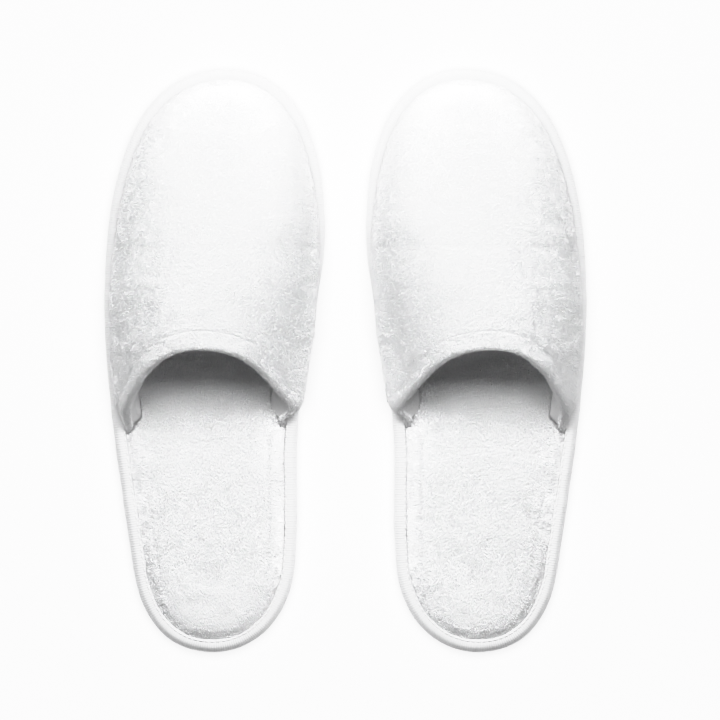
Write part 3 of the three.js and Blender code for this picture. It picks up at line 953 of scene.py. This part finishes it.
def grip_dots(low):
    """Small domes in staggered rows under the sole, rooted in it, which the sole stands on."""
    pitch = 6.6 * MM
    radius = 1.5 * MM
    tip = 0.05 * MM
    root = low + 0.5 * MM
    border = 8 * MM
    sides = 12
    places = []
    row = 0
    y = border
    while y < LENGTH - border:
        edges = [np.interp(y, HALF[s][:, 1], HALF[s][:, 0]) for s in (-1, 1)]
        first = math.ceil(edges[0] / pitch)
        for step in range(first - 1, int(edges[1] / pitch) + 2):
            x = (step + (row % 2) / 2) * pitch
            gap = min(np.min(np.hypot(*(HALF[s] - (x, y)).T)) for s in (-1, 1))
            if edges[0] < x < edges[1] and gap > LIP + 3.2 * MM:
                places.append((x, y, 0))
        row += 1
        y += pitch * math.sqrt(3) / 2
    turn = np.arange(sides) * 2 * math.pi / sides
    circle = np.column_stack([np.cos(turn), np.sin(turn), np.zeros(sides)])
    dome = [tip * circle + (0, 0, root)]
    for tilt in np.linspace(0, math.pi / 2, 4):
        spread = max(radius * max(math.cos(tilt), 0) ** 0.6, tip)
        dome.append(spread * circle + (0, 0, root - root * math.sin(tilt)))
    one = np.concatenate(dome)
    faces = grid_faces(len(dome), sides, close_columns=True)
    vertices = (np.array(places)[:, None] + one[None]).reshape(-1, 3)
    starts = np.arange(len(places)) * len(one)
    return vertices, (starts[:, None, None] + faces[None]).reshape(-1, 4)


def lip_width(share):
    """The binding's reach over the insole, which varies a little as it was sewn."""
    angle = share * 2 * math.pi
    waves = ((0.12, 3, 1), (0.1, 11, 0), (0.12, 29, 2))
    return LIP + MM * sum(depth * np.sin(count * angle + phase) for depth, count, phase in waves)


def make_binding():
    """The ribbed tape: rings around the sole, in over the top, round the edge and in underneath. Each
    rib is two columns of the grid wide and each groove one."""
    columns = 3 * round(LOOP_LENGTH / RIB_PITCH)
    edge, push = around(columns)
    share = np.arange(columns) / columns
    lip = lip_width(share)
    half_height = SOLE_TOP / 2
    turn = np.linspace(math.pi / 2, -math.pi / 2, 17)
    power = 2 / 2.1
    curve_in = EDGE_ROUND * (1 - np.cos(turn) ** power)
    curve_z = half_height * (1 + np.sign(turn) * np.abs(np.sin(turn)) ** power)
    groove = np.arange(columns) % 3 == 0
    rib = np.where(groove, -0.14, 0.07) * MM
    stitch = 0.5 + 0.5 * np.cos(share * LOOP_LENGTH / STITCH_PITCH * 2 * math.pi)
    stack = np.zeros((columns, 3))
    stack[:, :2] = edge
    puff = 0.25 * MM * noise(stack, 9 * MM, seed=91)
    rings = []

    def ring(inset, z, swell=1.0):
        position = edge + push * (inset - (rib + puff) * swell * 0.6)[:, None]
        rings.append(np.column_stack([position, z]))

    flat = np.ones(columns)
    seam_dip = 0.15 * MM * stitch
    top = SOLE_TOP * flat + 0.4 * puff
    ring(lip, top - 1.0 * MM, 0)
    ring(lip + 0.15 * MM, top - 0.7 * MM, 0)
    ring(lip - 0.05 * MM, top - 0.3 * MM + rib, 0)
    ring(lip - 0.4 * MM, top - 0.2 * MM + rib, 0)
    ring(SEAM_INSET * flat, top - 0.18 * MM - seam_dip + rib, 0)
    ring(SEAM_INSET * flat - 0.6 * MM, top - 0.12 * MM - 0.3 * seam_dip + rib, 0)
    ring(SEAM_INSET * flat - 1.4 * MM, top - 0.08 * MM + rib, 0)
    for depth, z in zip(curve_in[1:-1], curve_z[1:-1]):
        lift = (rib + puff) * max(z - half_height, 0) / half_height
        ring(depth * flat, z + lift * 0.8)
    ring(EDGE_ROUND * flat, 0 * flat, 0)
    ring(lip - 0.3 * MM, 0 * flat, 0)
    ring(lip, 0.5 * MM * flat, 0)
    ring(lip - 0.2 * MM, TAPE * flat, 0)
    ring(3.4 * MM * flat, TAPE * flat, 0)
    ring(1.7 * MM * flat, 1.7 * MM * flat, 0)
    ring(TAPE * flat, 3.4 * MM * flat, 0)
    ring(TAPE * flat, (SOLE_TOP - 3.4 * MM) * flat, 0)
    ring(1.7 * MM * flat, (SOLE_TOP - 1.7 * MM) * flat, 0)
    ring(3.4 * MM * flat, (SOLE_TOP - TAPE) * flat, 0)
    grid = np.array(rings)
    vertices = grid.reshape(-1, 3)
    face_sets = [grid_faces(*grid.shape[:2], close_rows=True, close_columns=True)]
    rib_up = np.tile(~groove, len(rings)).astype(np.float32)

    def add_ribs(piece, side):
        piece.data.attributes.new("rib", "FLOAT", "POINT").data.foreach_set("value", rib_up)

    both("edge_binding_tape", vertices, face_sets, tape, halves("edge_binding"), bends=True,
         extra=add_ribs)


def stitches(centres, alongs, ups, length, thickness):
    """Short bowed lengths of thread lying on the cloth, with both ends going down into it."""
    steps, sides = 7, 6
    t = np.linspace(-1, 1, steps)
    sag = -1.1 * thickness * np.abs(t) ** 3
    taper = thickness / 2 * np.sqrt(np.maximum(1 - 0.85 * t**6, 0.05))
    across = unit(np.cross(alongs, ups))
    turn = np.arange(sides) * 2 * math.pi / sides
    line = centres[:, None] + alongs[:, None] * (t * length / 2)[None, :, None]
    line = line + ups[:, None] * sag[None, :, None]
    circle = across[:, None] * np.cos(turn)[None, :, None] + ups[:, None] * np.sin(turn)[None, :, None]
    vertices = line[:, :, None] + circle[:, None] * taper[None, :, None, None]
    count = len(centres)
    body = grid_faces(steps, sides, close_columns=True)
    starts = np.arange(count) * steps * sides
    quads = (starts[:, None, None] + body[None]).reshape(-1, 4)
    ends = np.array([np.arange(sides)[::-1], (steps - 1) * sides + np.arange(sides)])
    caps = (starts[:, None, None] + ends[None]).reshape(-1, sides)
    return vertices.reshape(-1, 3), [quads[:, ::-1], caps[:, ::-1]]


def make_binding_stitches():
    """The seam round the binding's inner edge."""
    count = round(LOOP_LENGTH / STITCH_PITCH)
    edge, push = around(count)
    centre = np.column_stack([edge + push * SEAM_INSET, np.full(count, SOLE_TOP + 0.1 * MM)])
    along = np.column_stack([unit(np.roll(edge, -1, axis=0) - np.roll(edge, 1, axis=0)), np.zeros(count)])
    up = np.tile([0.0, 0, 1], (count, 1))
    vertices, faces = stitches(centre, along, up, STITCH_LENGTH, BINDING_THREAD)
    both("binding_seam", vertices, faces, thread, halves("binding_stitching"), bends=True)


def make_hem_stitches():
    """The hem's seam, on the inner face of the facing."""
    levels = np.linspace(0.12, 1, 90)
    depth = FACING[1] + 0.15 * MM
    back = FACING_DEPTH - 2.6 * MM
    line = []
    for side, order in ((-1, levels), (1, levels[::-1][1:])):
        for level in order:
            line.append(upper_point(side, cut_share(side, level, depth, back), level, depth))
    line = np.array(line)
    total = np.linalg.norm(np.diff(line, axis=0), axis=1).sum()
    centre = spaced(line, round(total / STITCH_PITCH))
    along = unit(np.gradient(centre, axis=0))
    middle = np.array([THROAT_LEAN, WING_Y + 30 * MM, 18 * MM])
    inwards = middle - centre
    up = unit(inwards - np.sum(inwards * along, axis=1, keepdims=True) * along)
    vertices, faces = stitches(centre, along, up, STITCH_LENGTH, HEM_THREAD)
    both("throat_seam", vertices, faces, thread, ["throat_stitching"])


# ---------- Setting ----------
FLOOR_GLOW = 0.2
WORLD_LIGHT = 0.1
KEY_POWER = 54.0
FLOOR_POWER = 46.0


def make_floor():
    mesh = bpy.data.meshes.new("floor")
    half = 3.0
    corners = [(x * half, y * half, 0) for x, y in ((-1, -1), (1, -1), (1, 1), (-1, 1))]
    mesh.from_pydata(corners, [], [(0, 1, 2, 3)])
    floor = bpy.data.objects.new("floor", mesh)
    bpy.context.scene.collection.objects.link(floor)
    finish = Finish("white_floor", (0.9, 0.9, 0.9), 0.9)
    finish.paint(finish.ramp(finish.noise(40 * MM), 0.995, 1.0))
    finish.shader.inputs["Emission Color"].default_value = (1, 1, 1, 1)
    finish.shader.inputs["Emission Strength"].default_value = FLOOR_GLOW
    floor.data.materials.append(finish.material)
    return floor


def add_light(name, towards, distance, size, power, receivers):
    """A softbox that lights only the receivers."""
    light = bpy.data.lights.new(name, "AREA")
    light.shape = "RECTANGLE"
    light.size, light.size_y = size
    light.energy = power
    lamp = bpy.data.objects.new(name, light)
    lamp.location = unit(np.array(towards)) * distance
    lamp.rotation_euler = (-math.atan2(lamp.location.y, lamp.location.z), 0, 0)
    lamp.visible_camera = False
    bpy.context.scene.collection.objects.link(lamp)
    lit = bpy.data.collections.new(f"lit_by_{name}")
    for piece in receivers:
        lit.objects.link(piece)
    lamp.light_linking.receiver_collection = lit


def make_lights(floor):
    """Each slipper is lit from above its toe and its inner side, so the pair is lit as mirror images."""
    world = bpy.data.worlds.new("studio")
    world.use_nodes = True
    world.node_tree.nodes["Background"].inputs["Color"].default_value = (1, 1, 1, 1)
    world.node_tree.nodes["Background"].inputs["Strength"].default_value = WORLD_LIGHT
    bpy.context.scene.world = world
    for side, across in (("left", 1), ("right", -1)):
        add_light(f"{side}_key", (0.32 * across, 0.525, 0.81), 1.5, (3.2, 0.8), KEY_POWER, made[side])
    add_light("floor_light", (0, 0.1, 1), 1.6, (1.5, 1.5), FLOOR_POWER, [floor])


def make_camera():
    """Straight overhead with a long lens, so that the sides of both slippers look alike."""
    field = 352.3 * MM
    distance = 3.2
    data = bpy.data.cameras.new("camera")
    data.sensor_width = 36
    data.lens = data.sensor_width * distance / field
    data.clip_end = 50
    camera = bpy.data.objects.new("camera", data)
    camera.location = (7.1 * MM, 0.4 * MM, distance + 5 * MM)
    bpy.context.scene.collection.objects.link(camera)
    bpy.context.scene.camera = camera


def set_film():
    """A response that rolls off softly into white, as in a high-key product photograph."""
    scene = bpy.context.scene
    scene.cycles.diffuse_bounces = 3
    look = scene.view_settings
    look.view_transform = "Standard"
    look.use_curve_mapping = True
    look.curve_mapping.white_level = (2, 2, 2)
    film = look.curve_mapping.curves[3]
    film.points[0].location = (0, 0)
    film.points[1].location = (1, 1)
    for level, shown in ((0.35, 0.70), (0.42, 0.82), (0.5, 0.895), (0.62, 0.94), (0.8, 0.98)):
        film.points.new(level, shown)
    look.curve_mapping.update()


make_camera()
face = make_upper()
hem, core = make_hem()
make_upper_pile(face, hem, core)
slab("sole_sponge", CORE_INSET, sponge_low.z, sponge_high.z, sole_foam)
make_insole()
make_outsole()
make_binding()
make_binding_stitches()
make_hem_stitches()
make_lights(make_floor())
set_film()
